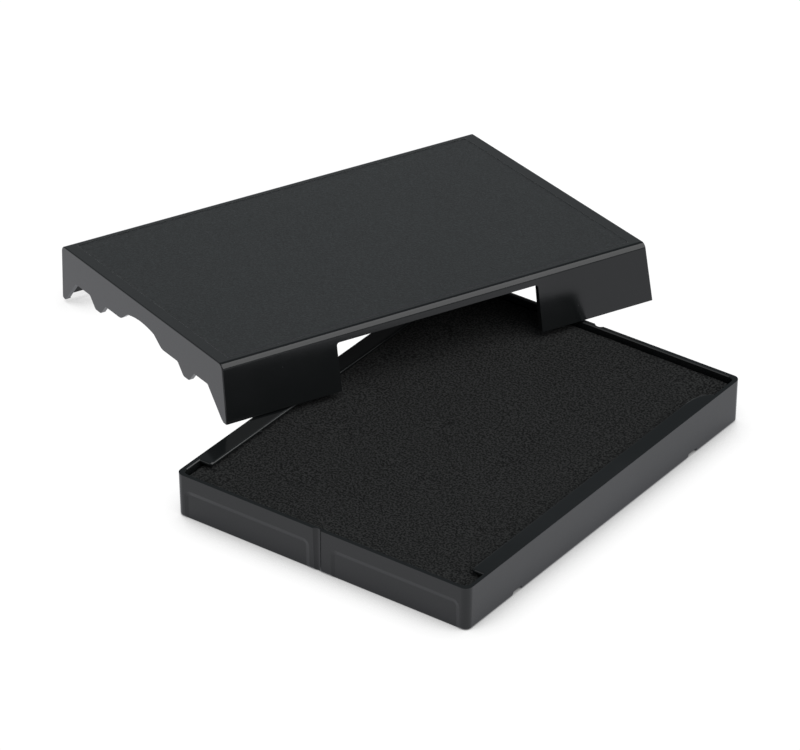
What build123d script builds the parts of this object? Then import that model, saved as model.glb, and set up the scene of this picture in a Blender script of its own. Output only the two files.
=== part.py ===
from build123d import *
from math import asin, cos, radians, sin, tan
import os

# Replacement ink pad for a self-inking stamp: a shallow tray with a foam pad, and its
# protective cover lying askew, its front edge on the tray's rim and its back legs on
# the table. Millimetres, origin in the middle of the tray's underside, +Z up, the
# tray's short sides facing -Y and +Y.

# tray
tray_width = 45.0
tray_length = 60.5
tray_height = 6.2
tray_draft = 1.2
tray_corner = 0.9
tray_foot_round = 0.3
tray_wall = 0.65
tray_floor = 1.1
hollow_corner = 0.9
rim_chamfer = 0.1

# hold-down lips along the two long sides, flush with the rim
lip_reach = 2.5
lip_thickness = 0.4
lip_front = -26.1
lip_back = 25.0
lip_sweep = 4.0
lip_corner = 0.6
lip_edge_round = 0.28
nub_radius = 0.25
nub_place = -15.9

# short ends: a shallow round groove near the middle, and on each side of it a sunk
# panel that is open at the bottom
groove_radius = 0.78
groove_depth = 0.28
groove_shift = 0.4
panel_start = 1.65
panel_end = 21.2
panel_high = 4.15
panel_under = 2.0
panel_depth = 0.12
panel_ramp = 78.0
panel_corner = 1.0

# notches in the bottom edge of the long sides, for the cover's catches
notch_place = 19.45
notch_width = 2.3
notch_height = 0.6
notch_reach = 1.3

# foam pad
pad_depth = 0.75
pad_gap = 0.1
pad_corner = 0.8
pad_edge = 0.25

# cover, sizes at its open side
cover_length = 63.1
cover_width = 47.7
cover_height = 8.1
cover_end_draft = 2.3
cover_side_draft = 4.3
cover_inside_draft = 2.4
cover_long_round = 0.85
cover_end_round = 0.15
cover_plate = 1.2
cover_side_wall = 1.0
cover_end_wall = 0.6
side_gap = 29.7
side_edge = 1.5
field_border = 2.0
field_corner = 0.6
field_step = 0.03

# contoured bottom edge of the cover's short ends, as distance from the middle
arch_top = 5.57
arch_kink = (3.8, 5.15)
arch_half = 5.9
skirt_low = 3.85
tooth_start = 10.45
tooth_end = 15.15
tooth_tip = 2.35
tooth_slope = 1.55
leg_start = 18.9
leg_slope_end = (22.5, 0.3)
leg_tip = 23.2

# back legs: a relief in the bottom edge leaves a rounded finger at each corner
relief_start = 26.0
relief_end = 30.8
relief_height = 1.1
finger_round = 0.65
finger_lift = 0.4
finger_slant_shift = 0.5

# catches inside the cover's legs
catch_width = 1.7
catch_reach = 0.7
catch_low = 0.15
catch_high = 0.75

# where the cover lies: turned about +Z, its back legs' outer bottom edge on the table
cover_turn = 65.1
back_edge = (-53.46, 30.61, 0.0)
rest_gap = 0.08

os.makedirs("parts", exist_ok=True)


with BuildPart() as tray:
    foot_inset = 2 * tray_height * tan(radians(tray_draft))
    with BuildSketch(Plane.XY):
        RectangleRounded(tray_width - foot_inset, tray_length - foot_inset, tray_corner)
    extrude(amount=tray_height, taper=-tray_draft)
    fillet(tray.faces().sort_by(Axis.Z)[0].edges(), radius=tray_foot_round)

    # hollow for the pad, with a softened inner rim
    with BuildSketch(Plane.XY.offset(tray_height)):
        RectangleRounded(
            tray_width - 2 * tray_wall, tray_length - 2 * tray_wall, hollow_corner
        )
    extrude(amount=tray_floor - tray_height, mode=Mode.SUBTRACT)
    rim = tray.faces().filter_by(Axis.Z).sort_by(Axis.Z)[-1]
    chamfer(rim.inner_wires()[0].edges(), length=rim_chamfer)

    # lips: nearly square at the front end, swept into the wall at the back end
    lip_root = (tray_width - tray_wall) / 2
    lip_edge = tray_width / 2 - lip_reach
    with BuildPart():
        with BuildSketch(Plane.XY.offset(tray_height - lip_thickness)):
            with BuildLine():
                Polyline(
                    (lip_root, lip_back),
                    (lip_root, lip_front),
                    (lip_edge + lip_corner, lip_front),
                )
                CenterArc((lip_edge + lip_corner, lip_front + lip_corner), lip_corner, 180, 90)
                Line((lip_edge, lip_front + lip_corner), (lip_edge, lip_back - lip_sweep))
                EllipticalCenterArc(
                    (lip_root, lip_back - lip_sweep),
                    lip_root - lip_edge,
                    lip_sweep,
                    start_angle=90,
                    arc_size=90,
                )
            make_face()
        lip = extrude(amount=lip_thickness)
        top_edges = lip.faces().sort_by(Axis.Z)[-1].edges()
        fillet(top_edges.sort_by(Axis.X)[:-1], radius=lip_edge_round)
        with BuildSketch(Plane.XY.offset(tray_height - lip_thickness)):
            with Locations((lip_edge, nub_place)):
                Circle(nub_radius)
        extrude(amount=lip_thickness - lip_edge_round)
        mirror(about=Plane.YZ)

    # groove down each short end, cut through the rim's outer half
    groove_middle = (tray_length - foot_inset / 2) / 2 + groove_radius - groove_depth
    with BuildSketch(Plane.XY):
        with Locations((-groove_shift, -groove_middle), (groove_shift, groove_middle)):
            Circle(groove_radius)
    extrude(amount=tray_height, mode=Mode.SUBTRACT)

    # sunk panels with sloping sides, two on each short end
    panel_middle = (panel_start + panel_end) / 2
    panel_tall = panel_high + panel_under
    lean = radians(tray_draft)
    for end in (-1, 1):
        end_face = Plane(
            origin=(0, end * tray_length / 2, tray_height),
            x_dir=(-end, 0, 0),
            z_dir=(0, end * cos(lean), -sin(lean)),
        )
        with BuildSketch(end_face):
            panel_level = panel_high - tray_height - panel_tall / 2
            with Locations((-panel_middle, panel_level), (panel_middle, panel_level)):
                RectangleRounded(panel_end - panel_start, panel_tall, panel_corner)
        extrude(amount=-panel_depth, taper=panel_ramp, mode=Mode.SUBTRACT)

    # notches in the bottom edge of the long sides
    for side in (-1, 1):
        long_face = Plane(
            origin=(side * (tray_width / 2 - notch_reach), 0, 0),
            x_dir=(0, side, 0),
            z_dir=(side, 0, 0),
        )
        with BuildSketch(long_face):
            for place in (-notch_place, notch_place):
                with BuildLine():
                    Polyline(
                        (place - notch_width / 2, -0.1),
                        (place - notch_width / 2.6, notch_height),
                        (place + notch_width / 2.6, notch_height),
                        (place + notch_width / 2, -0.1),
                        close=True,
                    )
                make_face()
        extrude(amount=2 * notch_reach, mode=Mode.SUBTRACT)


with BuildPart() as ink_pad:
    with BuildSketch(Plane.XY.offset(tray_floor + pad_gap / 2)):
        RectangleRounded(
            tray_width - 2 * tray_wall - 2 * pad_gap,
            tray_length - 2 * tray_wall - 2 * pad_gap,
            pad_corner,
        )
    extrude(amount=tray_height - pad_depth - tray_floor - pad_gap / 2)
    fillet(ink_pad.faces().sort_by(Axis.Z)[-1].edges(), radius=pad_edge)


# the cover's own frame: x along its long side, z out of its flat top, origin in the
# middle of its open side; its front wall's inner edge rests on the tray's rim
turn = radians(cover_turn)
slope = asin((tray_height + rest_gap) / (cover_width - cover_side_wall))
back_frame = Plane(
    origin=back_edge,
    x_dir=(cos(turn), sin(turn), 0),
    z_dir=(-sin(turn) * sin(slope), cos(turn) * sin(slope), cos(slope)),
)
cover_frame = Plane(
    origin=back_frame.from_local_coords((0, -cover_width / 2, 0)),
    x_dir=back_frame.x_dir,
    z_dir=back_frame.z_dir,
)
cover_up = Axis(cover_frame.origin, cover_frame.z_dir)


with BuildPart() as cover:
    end_lean = 2 * tan(radians(cover_end_draft))
    side_lean = 2 * tan(radians(cover_side_draft))
    with BuildSketch(cover_frame):
        Rectangle(cover_length, cover_width)
    with BuildSketch(cover_frame.offset(cover_height)):
        Rectangle(
            cover_length - cover_height * end_lean, cover_width - cover_height * side_lean
        )
    loft(ruled=True)

    # the long edges of the top are rounded, the flat ends keep nearly sharp edges
    top_edges = cover.faces().sort_by(cover_up)[-1].edges().sort_by(SortBy.LENGTH)
    fillet(top_edges[-2:], radius=cover_long_round)
    along = Axis(cover_frame.origin, cover_frame.x_dir)
    for end_wall in (cover.faces().sort_by(along)[0], cover.faces().sort_by(along)[-1]):
        fillet(end_wall.edges().sort_by(cover_up)[1:], radius=cover_end_round)

    # hollow
    inside = cover_height - cover_plate
    with BuildSketch(cover_frame):
        Rectangle(cover_length - 2 * cover_end_wall, cover_width - 2 * cover_side_wall)
    with BuildSketch(cover_frame.offset(inside)):
        Rectangle(
            cover_length - 2 * cover_end_wall - inside * end_lean,
            cover_width - 2 * cover_side_wall - 2 * inside * tan(radians(cover_inside_draft)),
        )
    loft(ruled=True, mode=Mode.SUBTRACT)

    # gap in the middle of each long side
    side_frame = Plane(
        origin=cover_frame.origin, x_dir=cover_frame.x_dir, z_dir=-cover_frame.y_dir
    )
    with BuildSketch(side_frame):
        with BuildLine():
            FilletPolyline(
                (-side_gap / 2, -1),
                (-side_gap / 2, cover_height - side_edge),
                (side_gap / 2, cover_height - side_edge),
                (side_gap / 2, -1),
                radius=0.4,
            )
            Line((side_gap / 2, -1), (-side_gap / 2, -1))
        make_face()
    extrude(amount=cover_width, both=True, mode=Mode.SUBTRACT)

    # contoured bottom edge of the short ends
    for end in (-1, 1):
        contour_start = cover_length / 2 - 1.6 * cover_end_wall
        end_frame = Plane(
            origin=cover_frame.from_local_coords((end * contour_start, 0, 0)),
            x_dir=end * cover_frame.y_dir,
            z_dir=end * cover_frame.x_dir,
        )
        with BuildSketch(end_frame):
            for side in (-1, 1):
                shift = finger_slant_shift if side == end else 0
                with BuildLine():
                    ThreePointArc(
                        (0, arch_top),
                        (side * arch_kink[0] / 2, arch_top - (arch_top - arch_kink[1]) / 4),
                        (side * arch_kink[0], arch_kink[1]),
                    )
                    FilletPolyline(
                        (side * arch_kink[0], arch_kink[1]),
                        (side * arch_half, skirt_low),
                        (side * tooth_start, skirt_low),
                        (side * (tooth_start + tooth_slope), tooth_tip),
                        (side * (tooth_end - tooth_slope), tooth_tip),
                        (side * tooth_end, skirt_low),
                        (side * (leg_start + shift), skirt_low),
                        (side * (leg_slope_end[0] + shift), leg_slope_end[1]),
                        (side * (leg_tip + shift), -0.1),
                        radius=(2.0, 0.6, 0.6, 0.6, 0.5, 0.5, 0.4),
                    )
                    Polyline(
                        (side * (leg_tip + shift), -0.1),
                        (side * (leg_tip + shift), -1),
                        (0, -1),
                        (0, arch_top),
                    )
                make_face()
        extrude(amount=2 * cover_side_wall, mode=Mode.SUBTRACT)

        # relief and rounded finger at the back corner
        with BuildSketch(side_frame):
            with Locations((end * (relief_start + relief_end) / 2, 0)):
                Rectangle(relief_end - relief_start, 2 * relief_height)
        extrude(amount=-cover_width, mode=Mode.SUBTRACT)
        finger_middle = end * (cover_width / 2 - finger_round)
        with BuildSketch(end_frame):
            with Locations((finger_middle + end * cover_side_wall / 2, finger_lift + finger_round / 2)):
                Rectangle(cover_side_wall, finger_round)
            with Locations((finger_middle, finger_lift + finger_round)):
                Circle(finger_round, mode=Mode.SUBTRACT)
            with Locations((finger_middle, finger_lift - cover_side_wall / 2)):
                Rectangle(2 * cover_side_wall, cover_side_wall)
        extrude(amount=2 * cover_side_wall, mode=Mode.SUBTRACT)

    # catches that snap into the tray's notches
    inner_face = cover_width / 2 - cover_side_wall
    for place in (-notch_place, notch_place):
        catch_frame = Plane(
            origin=cover_frame.from_local_coords((place, 0, 0)),
            x_dir=cover_frame.y_dir,
            z_dir=cover_frame.x_dir,
        )
        with BuildSketch(catch_frame):
            for side in (-1, 1):
                with BuildLine():
                    Polyline(
                        (side * (inner_face + 0.1), catch_low),
                        (side * (inner_face - catch_reach), (catch_low + catch_high) / 2),
                        (side * (inner_face + 0.1), catch_high),
                        close=True,
                    )
                make_face()
        extrude(amount=catch_width / 2, both=True)

    # matt field of the top, a hair lower than its plain border
    with BuildSketch(cover_frame.offset(cover_height)):
        RectangleRounded(
            cover_length - 2 * field_border, cover_width - 2 * field_border, field_corner
        )
    extrude(amount=-field_step, mode=Mode.SUBTRACT)


for name, piece in (("tray", tray), ("ink_pad", ink_pad), ("cover", cover)):
    piece.part.label = name
    export_step(piece.part, f"parts/{name}.step")
    box = piece.part.bounding_box()
    print(name, len(piece.part.solids()), "solids", round(piece.part.volume, 1), "mm3", box.min, box.max)
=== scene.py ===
from math import asin, cos, pi, radians, sin, sqrt

import bmesh
import bpy
from mathutils import Euler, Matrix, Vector, noise


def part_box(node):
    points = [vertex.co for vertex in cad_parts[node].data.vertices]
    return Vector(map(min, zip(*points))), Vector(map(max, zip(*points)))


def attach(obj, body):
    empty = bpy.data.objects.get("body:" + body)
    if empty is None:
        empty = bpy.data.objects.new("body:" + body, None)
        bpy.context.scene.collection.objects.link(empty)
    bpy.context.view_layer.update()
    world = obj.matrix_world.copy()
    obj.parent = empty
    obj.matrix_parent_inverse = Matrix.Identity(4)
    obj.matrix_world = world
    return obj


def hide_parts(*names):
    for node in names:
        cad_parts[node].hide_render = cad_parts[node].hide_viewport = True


# Replacement ink pad for a self-inking stamp: a tray, its foam pad and the cover lying askew.
# Everything is in metres in the part's frame; the tray and the cover keep their CAD shape.
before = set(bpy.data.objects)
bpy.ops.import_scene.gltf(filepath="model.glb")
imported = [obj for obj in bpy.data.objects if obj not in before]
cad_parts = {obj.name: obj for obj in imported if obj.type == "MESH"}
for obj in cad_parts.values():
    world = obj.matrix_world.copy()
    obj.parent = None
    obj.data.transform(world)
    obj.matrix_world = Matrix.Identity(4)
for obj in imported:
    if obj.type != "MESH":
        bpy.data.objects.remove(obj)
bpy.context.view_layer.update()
mm = 0.001


class Wire:  # a shader socket that can stand in an expression
    def __init__(self, finish, socket):
        self.finish = finish
        self.socket = socket

    def maths(self, operation, first, second=0.0):
        return self.finish.node("Math", {"operation": operation}, {0: first, 1: second})

    def __add__(self, other):
        return self.maths("ADD", self, other)

    def __sub__(self, other):
        return self.maths("SUBTRACT", self, other)

    def __mul__(self, other):
        return self.maths("MULTIPLY", self, other)

    def __rsub__(self, other):
        return self.maths("SUBTRACT", other, self)

    def __abs__(self):
        return self.maths("ABSOLUTE", self)

    def __lt__(self, other):
        return self.maths("LESS_THAN", self, other)

    def __gt__(self, other):
        return self.maths("GREATER_THAN", self, other)

    __radd__ = __add__
    __rmul__ = __mul__


class Finish:  # a node tree under construction
    def __init__(self, owner):
        owner.use_nodes = True
        self.owner = owner
        self.tree = owner.node_tree
        self.tree.nodes.clear()

    def node(self, kind, settings=None, inputs=None, output=0):
        made = self.tree.nodes.new("ShaderNode" + kind)
        for key, value in (settings or {}).items():
            if key == "stops":
                ramp = made.color_ramp
                while len(ramp.elements) < len(value):
                    ramp.elements.new(1.0)
                for element, (place, level) in zip(ramp.elements, value):
                    element.position = place
                    element.color = (level, level, level, 1)
            else:
                setattr(made, key, value)
        for key, value in (inputs or {}).items():
            if isinstance(value, Wire):
                self.tree.links.new(value.socket, made.inputs[key])
            else:
                made.inputs[key].default_value = value
        return Wire(self, made.outputs[output]) if made.outputs else None

    def place(self):  # position in the part's frame
        return self.node("TexCoord", output="Object")

    def blend(self, factor, first, second):
        return self.node("Mix", {"data_type": "RGBA"}, {0: factor, 6: first, 7: second}, 2)

    def noise(self, place, size, detail=2.0, roughness=0.5):
        inputs = {"Vector": place, "Scale": 1 / size, "Detail": detail, "Roughness": roughness}
        return self.node("TexNoise", inputs=inputs)

    def cells(self, place, size):  # distance from the nearest of scattered points
        return self.node("TexVoronoi", inputs={"Vector": place, "Scale": 1 / size})

    def fade(self, value, low, high):  # 0 below low, 1 above high
        settings = {"interpolation_type": "SMOOTHSTEP"}
        return self.node("MapRange", settings, {"Value": value, "From Min": low, "From Max": high})

    def bump(self, height, strength=1.0):
        inputs = {"Strength": strength, "Distance": 1.0, "Height": height}
        return self.node("Bump", inputs=inputs)

    def surface(self, sockets):
        shader = self.node("BsdfPrincipled", inputs=sockets)
        self.node("OutputMaterial", inputs={"Surface": shader})
        return self.owner


def newFinish(name):
    return Finish(bpy.data.materials.new(name))


def meshPiece(name, body, smooth=True):
    mesh = bpy.data.meshes.new(name)
    body.to_mesh(mesh)
    body.free()
    if smooth:
        mesh.shade_smooth()
    piece = bpy.data.objects.new(name, mesh)
    bpy.context.scene.collection.objects.link(piece)
    return piece


def paint(node, material):
    for place in range(len(node.material_slots)):
        node.material_slots[place].material = material


plastic = {
    "black": (0.0060, 0.0068, 0.0070, 1),
    "dusty": (0.0115, 0.0121, 0.0128, 1),
    "refraction": 1.46,
    "cloudSize": 14 * mm,
    "cloudEdges": (0.45, 0.75),
    "cloudDust": 0.6,
    "polish": 0.075,  # roughness of the cleanest places
    "polishSpread": 0.06,
    "rippleSize": 2.6 * mm,
    "rippleDepth": 0.0035 * mm,
    "grainSize": 0.22 * mm,
    "grainDepth": 0.0012 * mm,
    "speckSize": 1.9 * mm,  # distance between specks
    "speckEdges": (0.027, 0.045),
    "speckDust": 0.8,
    "speckRoughness": 0.2,
}


def glossyPlastic(name, look, matte=None):
    finish = newFinish(name)
    place = finish.place()
    clouds = finish.noise(place, look["cloudSize"], 4.0)
    grain = finish.noise(place, look["grainSize"], 3.0, 0.6)
    ripple = finish.noise(place, look["rippleSize"], 1.0)
    specks = 1 - finish.fade(finish.cells(place, look["speckSize"]), *look["speckEdges"])
    dust = finish.fade(clouds, *look["cloudEdges"]) * look["cloudDust"] + specks * look["speckDust"]
    colour = finish.blend(dust, look["black"], look["dusty"])
    roughness = look["polish"] + clouds * look["polishSpread"] + specks * look["speckRoughness"]
    height = ripple * look["rippleDepth"] + grain * look["grainDepth"]
    if matte:
        mask, tint, extraRoughness, extraHeight = matte(finish, place)
        colour = finish.blend(mask, colour, tint)
        roughness = roughness + mask * extraRoughness
        height = height + mask * extraHeight
    return finish.surface({
        "Base Color": colour,
        "Roughness": roughness,
        "IOR": look["refraction"],
        "Normal": finish.bump(height),
    })


paint(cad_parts["tray"], glossyPlastic("trayBlack", plastic))
print("tray painted")


cover = {
    "turn": 65.1,
    "backEdge": Vector((-53.46, 30.61, 0)) * mm,
    "restHeight": 6.28 * mm,
    "length": 63.1 * mm,
    "width": 47.7 * mm,
    "height": 8.1 * mm,
    "wall": 1.0 * mm,
    "border": 1.98 * mm,  # plain, round the matt field
    "fieldReach": 0.2 * mm,  # how far below the top the matt finish goes
    # painted shade and highlight on the matt grain: near black in its pits, lighter than the
    # plastic on its raised tops
    "fieldDark": (0.0002, 0.0004, 0.0004, 1),
    "fieldLight": (0.0180, 0.0215, 0.0220, 1),
    "fieldRoughness": 0.22,
    "fieldGrain": 0.30 * mm,
    "fieldEdges": (0.42, 0.66),
    "fieldDepth": 0.020 * mm,
    "cloudSize": 11 * mm,
    "cloudTint": 0.4,
    "cloudRoughness": 0.06,
}


def coverPlace(finish, place):  # position along the cover's length, width and height
    slope = asin(cover["restHeight"] / (cover["width"] - cover["wall"]))
    lie = Euler((-slope, 0, radians(cover["turn"])))
    middle = cover["backEdge"] + lie.to_matrix() @ Vector((0, -cover["width"] / 2, 0))
    inputs = {"Vector": place, "Location": middle, "Rotation": lie}
    local = finish.node("Mapping", {"vector_type": "TEXTURE"}, inputs)
    return [finish.node("SeparateXYZ", inputs={0: local}, output=axis) for axis in "XYZ"]


def mattField(finish, place):
    along, across, up = coverPlace(finish, place)
    alongEdge = cover["length"] / 2 - cover["border"]
    acrossEdge = cover["width"] / 2 - cover["border"]
    inside = (abs(along) < alongEdge) * (abs(across) < acrossEdge)
    mask = inside * (up > cover["height"] - cover["fieldReach"])
    pits = finish.noise(place, cover["fieldGrain"], 3.0, 0.7)
    clouds = finish.noise(place, cover["cloudSize"], 2.0) - 0.5
    # Painted shade and highlight: the matt grain is darker in its pits and lighter on its raised
    # tops, following the bump; the clouds add random tone of its own.
    grainShadeAndTone = finish.fade(pits, *cover["fieldEdges"]) * (1 + clouds * cover["cloudTint"])
    tint = finish.blend(grainShadeAndTone, cover["fieldDark"], cover["fieldLight"])
    roughness = cover["fieldRoughness"] + clouds * cover["cloudRoughness"]
    return mask, tint, roughness, pits * cover["fieldDepth"]


paint(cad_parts["cover"], glossyPlastic("coverBlack", plastic, mattField))
print("cover painted")


pad = {
    "step": 0.24 * mm,
    "drop": 0.05 * mm,  # room above the foam for its lumps
    "corner": 0.8 * mm,
    "edgeRound": 0.3 * mm,
    "crown": 0.04 * mm,
    "sideLevels": (0.7, 0.35, 0),
    "lumpSize": 6.0 * mm,
    "lumpHeight": 0.09 * mm,
    "cellSize": 0.55 * mm,
    "cellHeight": 0.0275 * mm,
    "pitStart": -0.25,
    "pitDepth": 0.088 * mm,
    # painted shade on the foam: near black in its pits, lighter on its raised skin
    "dark": (0.0022, 0.0024, 0.0024, 1),
    "light": (0.0285, 0.0290, 0.0286, 1),
    "lint": (0.0620, 0.0640, 0.0650, 1),
    "poreSize": 0.27 * mm,
    "poreEdges": (0.42, 0.60),
    "poreDepth": 0.10 * mm,
    "stringSize": 0.432 * mm,
    "stringEdges": (0.1, 0.5),
    "stringShade": 0.72,
    "stringTint": 0.4,
    "stringDepth": 0.04 * mm,
    "cloudSize": 8 * mm,
    "cloudTint": 0.3,
    "lintSize": 0.5 * mm,
    "lintEdges": (0.66, 0.74),
    "lintShare": 0.6,
    "roughness": 0.86,
    "poreRoughness": 0.12,
    "refraction": 1.4,
    "sheen": 0.25,
    "bumpStrength": 0.8,
}


def foamHeight(x, y):
    lump = noise.noise(Vector((x, y, 0)) / pad["lumpSize"])
    cell = noise.noise(Vector((x, y, 5 * mm)) / pad["cellSize"])
    pit = min(cell - pad["pitStart"], 0)
    return lump * pad["lumpHeight"] + cell * pad["cellHeight"] + pit * pad["pitDepth"]


def foamPad():
    low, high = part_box("ink_pad")
    half = (high - low) / 2
    middle = (high + low) / 2
    top = high.z - pad["drop"]
    corner, edgeRound = pad["corner"], pad["edgeRound"]
    body = bmesh.new()
    across, along = (round(2 * side / pad["step"]) for side in (half.x, half.y))
    bmesh.ops.create_grid(body, x_segments=across, y_segments=along, size=1)
    for point in body.verts:
        x, y = point.co.x * half.x, point.co.y * half.y
        coreX = max(-half.x + corner, min(half.x - corner, x))
        coreY = max(-half.y + corner, min(half.y - corner, y))
        outX, outY = x - coreX, y - coreY
        if outX and outY:  # round the four upright corners
            far = max(abs(outX), abs(outY))
            shrink = far / sqrt(outX**2 + outY**2)
            x, y = coreX + outX * shrink, coreY + outY * shrink
            inset = corner - far
        else:
            inset = min(half.x - abs(x), half.y - abs(y))
        edge = max(0, 1 - inset / edgeRound)  # 0 on the flat, 1 at the rim
        fall = edgeRound * (1 - sqrt(max(0, 1 - edge**2)))
        crown = pad["crown"] * (x / half.x) ** 2
        z = top - fall - crown + foamHeight(x, y) * (1 - edge)
        point.co = (x + middle.x, y + middle.y, z)
    for level in pad["sideLevels"]:
        rim = [edge for edge in body.edges if edge.is_boundary]
        wall = bmesh.ops.extrude_edge_only(body, edges=rim)["geom"]
        for point in wall:
            if isinstance(point, bmesh.types.BMVert):
                point.co.z = low.z + (top - edgeRound - low.z) * level
    bmesh.ops.contextual_create(body, geom=[edge for edge in body.edges if edge.is_boundary])
    bmesh.ops.recalc_face_normals(body, faces=body.faces)
    return meshPiece("foam_pad", body)


def foamFinish():
    finish = newFinish("padFoam")
    place = finish.place()
    pores = finish.noise(place, pad["poreSize"], 3.0, 0.65)
    strings = finish.cells(place, pad["stringSize"])
    clouds = finish.noise(place, pad["cloudSize"], 3.0) - 0.5
    lint = finish.fade(finish.noise(place, pad["lintSize"], 4.0, 0.8), *pad["lintEdges"])
    # Painted shade: the foam is darker in its pores and towards the string cells' centres, where
    # the bump sinks; the clouds add random tone of its own.
    stringPitShade = pad["stringShade"] + pad["stringTint"] * finish.fade(strings, *pad["stringEdges"])
    skinToneAndPoreShade = finish.fade(pores, *pad["poreEdges"]) * stringPitShade * (1 + clouds * pad["cloudTint"])
    colour = finish.blend(skinToneAndPoreShade, pad["dark"], pad["light"])
    return finish.surface({
        "Base Color": finish.blend(lint * pad["lintShare"], colour, pad["lint"]),
        "Roughness": pad["roughness"] + pores * pad["poreRoughness"],
        "IOR": pad["refraction"],
        "Specular IOR Level": pad["sheen"],
        "Normal": finish.bump(
            pores * pad["poreDepth"] + strings * pad["stringDepth"], pad["bumpStrength"]
        ),
    })


foam = foamPad()
foam.data.materials.append(foamFinish())
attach(foam, "tray_body")
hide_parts("ink_pad")
print("foam pad made:", len(foam.data.polygons), "faces")


studio = {
    "floorSize": 4.0,
    "floorDrop": 0.03 * mm,
    "floorBlack": (0, 0, 0, 1),
    "floorTint": (0.50, 0.52, 0.62, 1),  # painted reflection: this tint is mixed into what the plastic mirrors, not into what the camera sees
    "floorTintShare": 0.35,
    "shadowReach": 7 * mm,
    "shadowStops": [(0.0, 0.0), (0.42, 0.42), (0.66, 0.9), (0.9, 1.04)],
    "backdrop": (1, 1, 1, 1),
    "airStops": [(0.0, 0.5), (0.31, 0.29), (0.53, 0.13), (0.77, 0.1), (1.0, 0.3)],
    "airTint": (0.20, 0.27, 0.31, 1),
    "airTintShare": 0.25,
    "softbox": {"aim": (0.62, 0.16, 0.77), "size": (1.15, 1.25), "glow": 2.3},
    "frontBox": {"aim": (-0.35, -0.62, 0.70), "size": (0.55, 0.5), "glow": 0.8},
    "lightDistance": 0.9,
}


def makeFloor():
    body = bmesh.new()
    bmesh.ops.create_grid(body, x_segments=1, y_segments=1, size=studio["floorSize"] / 2)
    floor = meshPiece("floor", body, smooth=False)
    floor.location.z = -studio["floorDrop"]
    # Painted shadow: the floor glows instead of being lit by the lamps, darkened near the parts by
    # ambient occlusion; everything but the camera sees a tinted copy.
    finish = newFinish("floorGlowWithPaintedShadow")
    reach = {"Distance": studio["shadowReach"]}
    openSky = finish.node("AmbientOcclusion", {"samples": 12}, reach, "AO")
    level = finish.node("ValToRGB", {"stops": studio["shadowStops"]}, {0: openSky})
    mirrored = finish.blend(studio["floorTintShare"], level, studio["floorTint"])
    seen = finish.node("LightPath", output="Is Camera Ray")
    floor.data.materials.append(finish.surface({
        "Base Color": studio["floorBlack"],
        "Specular IOR Level": 0.0,
        "Emission Color": finish.blend(seen, mirrored, level),
        "Emission Strength": 1.0,
    }))


def makeLight(name):
    box = studio[name]
    light = bpy.data.lights.new(name, "AREA")
    light.shape = "RECTANGLE"
    light.size, light.size_y = box["size"]
    light.energy = box["glow"] * pi * light.size * light.size_y
    lamp = bpy.data.objects.new(name, light)
    towards = Vector(box["aim"]).normalized()
    lamp.location = towards * studio["lightDistance"]
    lamp.rotation_euler = towards.to_track_quat("Z", "Y").to_euler()
    lamp.visible_camera = False
    bpy.context.scene.collection.objects.link(lamp)


def makeWorld():
    world = bpy.data.worlds.new("studio")
    bpy.context.scene.world = world
    air = Finish(world)
    direction = air.node("TexCoord", output="Generated")
    up = air.node("SeparateXYZ", inputs={0: direction}, output="Z")
    wall = air.node("ValToRGB", {"stops": studio["airStops"]}, {0: up})
    tinted = air.blend(studio["airTintShare"], wall, studio["airTint"])
    seen = air.node("LightPath", output="Is Camera Ray")
    level = air.blend(seen, tinted, studio["backdrop"])
    glow = air.node("Background", inputs={"Color": level, "Strength": 1.0})
    air.node("OutputWorld", inputs={"Surface": glow})


makeFloor()
makeWorld()
makeLight("softbox")
makeLight("frontBox")
bpy.context.scene.view_settings.view_transform = "Standard"
print("studio made")


view = {
    "azimuth": 36.04,
    "elevation": 31.88,
    "distance": 768.6 * mm,
    "aim": Vector((-14.5, 6.6, 5.0)) * mm,
    "lens": 268.2,
}


def makeCamera():
    side, tilt = radians(view["azimuth"]), radians(view["elevation"])
    back = Vector((sin(side) * cos(tilt), -cos(side) * cos(tilt), sin(tilt)))
    camera = bpy.data.cameras.new("camera")
    camera.lens = view["lens"]
    camera.sensor_width = 36
    camera.clip_start, camera.clip_end = 0.05, 20
    stand = bpy.data.objects.new("camera", camera)
    stand.location = view["aim"] + back * view["distance"]
    stand.rotation_euler = back.to_track_quat("Z", "Y").to_euler()
    bpy.context.scene.collection.objects.link(stand)
    bpy.context.scene.camera = stand


makeCamera()
